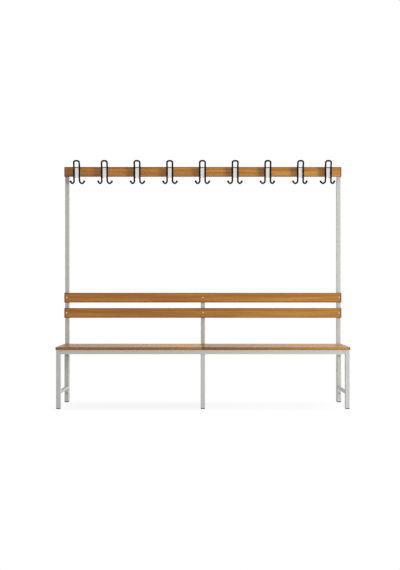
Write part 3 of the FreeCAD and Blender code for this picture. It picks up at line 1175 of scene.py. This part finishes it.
@dataclass
class Studio:
    """White room with soft light from the right and above, a weak fill from the left, and the camera.

    The floor glows white to the camera, and less in the bench's shadow. The two glows are those of the
    shadow's core on the left and on the right, and the change is where along X one turns into the other.
    The shadow's middle, the half size of its core and the width of the fade round that are along X and Y.
    """

    camera_distance: float = 6.0
    camera_height: float = 0.808
    lens: float = 55.84
    shift_x: float = -0.00504
    shift_y: float = 0.00877
    floor_half: float = 3.0
    floor_colour: str = "#E2E2E0"
    floor_glow: tuple[float, float] = (0.86, 0.92)
    glow_change: tuple[float, float] = (-0.1, 0.35)
    shadow_middle: tuple[float, float] = (-0.06, -0.05)
    shadow_core: tuple[float, float] = (0.76, 0.06)
    shadow_fade: tuple[float, float] = (0.3, 0.25)
    ambient: float = 0.41
    softboxes: tuple[Softbox, ...] = (
        Softbox("key_softbox", (5.0, -3.8, 1.2), (0.0, 0.1, 0.6), 1.8, 228.0),
        Softbox("side_softbox", (9.0, 1.9, 1.8), (-0.9, 0.1, 0.6), 4.7, 220.0),
        Softbox("top_softbox", (1.5, -0.5, 5.0), (0.0, 0.0, 0.4), 3.0, 74.0),
        Softbox("fill_softbox", (-7.0, 0.6, 1.0), (0.9, 0.1, 0.6), 2.5, 150.0),
    )

    def build(self) -> None:
        """Make the camera, the lamps, the world and the floor."""
        self.add_camera()
        for softbox in self.softboxes:
            softbox.build()
        self.light_world()
        self.lay_floor()
        bpy.context.scene.view_settings.view_transform = "Standard"

    def add_camera(self) -> None:
        """Level camera square to the bench, framed by its shift."""
        front = node_box("left_front_leg")[0][1]
        lens = bpy.data.cameras.new("photo_camera")
        lens.lens = self.lens
        lens.shift_x = self.shift_x
        lens.shift_y = self.shift_y
        camera = bpy.data.objects.new("photo_camera", lens)
        camera.location = (0.0, front - self.camera_distance, self.camera_height)
        camera.rotation_euler = (math.pi / 2, 0.0, 0.0)
        bpy.context.collection.objects.link(camera)
        bpy.context.scene.camera = camera

    @staticmethod
    def seen_directly(tree: Tree) -> Socket:
        """Socket that is one for camera, glossy and transmission rays.

        Args:
            tree: Node tree to add to.

        Returns:
            The greatest of the three.
        """
        path = add_node(tree, "ShaderNodeLightPath")
        seen = path.outputs["Is Camera Ray"]
        for ray in ("Is Glossy Ray", "Is Transmission Ray"):
            seen = add_node(
                tree,
                "ShaderNodeMath",
                settings={"operation": "MAXIMUM"},
                links={0: seen, 1: path.outputs[ray]},
            ).outputs[0]
        return seen

    def light_world(self) -> None:
        """Even grey light on surfaces, pure white to the camera and in reflections."""
        world = bpy.data.worlds.new("white_room")
        tree = bare_tree(world)
        strength = add_node(
            tree,
            "ShaderNodeMapRange",
            values={"To Min": self.ambient, "To Max": 1.0},
            links={"Value": self.seen_directly(tree)},
        )
        background = add_node(
            tree,
            "ShaderNodeBackground",
            values={"Color": linear("#FFFFFF")},
            links={"Strength": strength.outputs[0]},
        )
        add_node(tree, "ShaderNodeOutputWorld", links={"Surface": background.outputs[0]})
        bpy.context.scene.world = world

    def shadow_faded(self, tree: Tree, place: Socket) -> Socket:
        """How far the bench's shadow has faded out.

        Along X and Y, the distance past the shadow's core is taken as a share of the fade. The greater
        share is eased from zero to one.

        Args:
            tree: Node tree of the floor.
            place: Socket with the place on the floor, in metres.

        Returns:
            Socket that is zero over the core and one past the fade.
        """
        # The absolute value reads no amounts, and nothing reads Z
        steps = (
            ("SUBTRACT", self.shadow_middle),
            ("ABSOLUTE", (0.0, 0.0)),
            ("SUBTRACT", self.shadow_core),
            ("DIVIDE", self.shadow_fade),
        )
        share = place
        for operation, amounts in steps:
            share = add_node(
                tree,
                "ShaderNodeVectorMath",
                settings={"operation": operation},
                values={1: (*amounts, 1.0)},
                links={0: share},
            ).outputs[0]
        ways = add_node(tree, "ShaderNodeSeparateXYZ", links={0: share})
        greater = add_node(
            tree,
            "ShaderNodeMath",
            settings={"operation": "MAXIMUM"},
            links={0: ways.outputs["X"], 1: ways.outputs["Y"]},
        )
        return add_node(
            tree,
            "ShaderNodeMapRange",
            settings={"interpolation_type": "SMOOTHSTEP"},
            links={"Value": greater.outputs[0]},
        ).outputs[0]

    def floor_material(self) -> bpy.types.Material:
        """Matt white paint that glows to the camera, less in the bench's shadow.

        Returns:
            The floor's material.
        """
        made = bpy.data.materials.new("matt_white_floor")
        tree = bare_tree(made)
        place = add_node(tree, "ShaderNodeTexCoord").outputs["Object"]
        ways = add_node(tree, "ShaderNodeSeparateXYZ", links={0: place})
        core_glow = add_node(
            tree,
            "ShaderNodeMapRange",
            settings={"interpolation_type": "SMOOTHSTEP"},
            values={
                "From Min": self.glow_change[0],
                "From Max": self.glow_change[1],
                "To Min": self.floor_glow[0],
                "To Max": self.floor_glow[1],
            },
            links={"Value": ways.outputs["X"]},
        )
        glow = add_node(
            tree,
            "ShaderNodeMapRange",
            values={"To Max": 1.0},
            links={"Value": self.shadow_faded(tree, place), "To Min": core_glow.outputs[0]},
        )
        shown = add_node(
            tree,
            "ShaderNodeMath",
            settings={"operation": "MULTIPLY"},
            links={0: glow.outputs[0], 1: self.seen_directly(tree)},
        )
        matt = add_node(tree, "ShaderNodeBsdfDiffuse", values={"Color": linear(self.floor_colour)})
        white = add_node(tree, "ShaderNodeEmission", values={"Strength": 1.0})
        shade = add_node(
            tree,
            "ShaderNodeMixShader",
            links={0: shown.outputs[0], 1: matt.outputs[0], 2: white.outputs[0]},
        )
        add_node(tree, "ShaderNodeOutputMaterial", links={"Surface": shade.outputs[0]})
        return made

    def lay_floor(self) -> None:
        """Pale floor that shows white round the bench and keeps its shadow."""
        half = self.floor_half
        mesh = bpy.data.meshes.new("studio_floor")
        corners = [(-half, -half, 0.0), (half, -half, 0.0), (half, half, 0.0), (-half, half, 0.0)]
        mesh.from_pydata(corners, [], [[0, 1, 2, 3]])
        mesh.materials.append(self.floor_material())
        floor = bpy.data.objects.new("studio_floor", mesh)
        bpy.context.collection.objects.link(floor)


def main() -> None:
    """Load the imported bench, dress it, and set the studio round it."""
    logging.basicConfig(level=logging.INFO, format="%(message)s")
    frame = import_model()
    paintbox = Paintbox()
    for part in frame["record"]["subparts"]:
        paintbox.dress_node(frame["nodes"][part["node"]], Slot(part["material_slot"]))
    Timber(paintbox).build()
    CoatHooks(paintbox).build()
    Welds(paintbox).build()
    Studio().build()


if __name__ == "__main__":
    main()
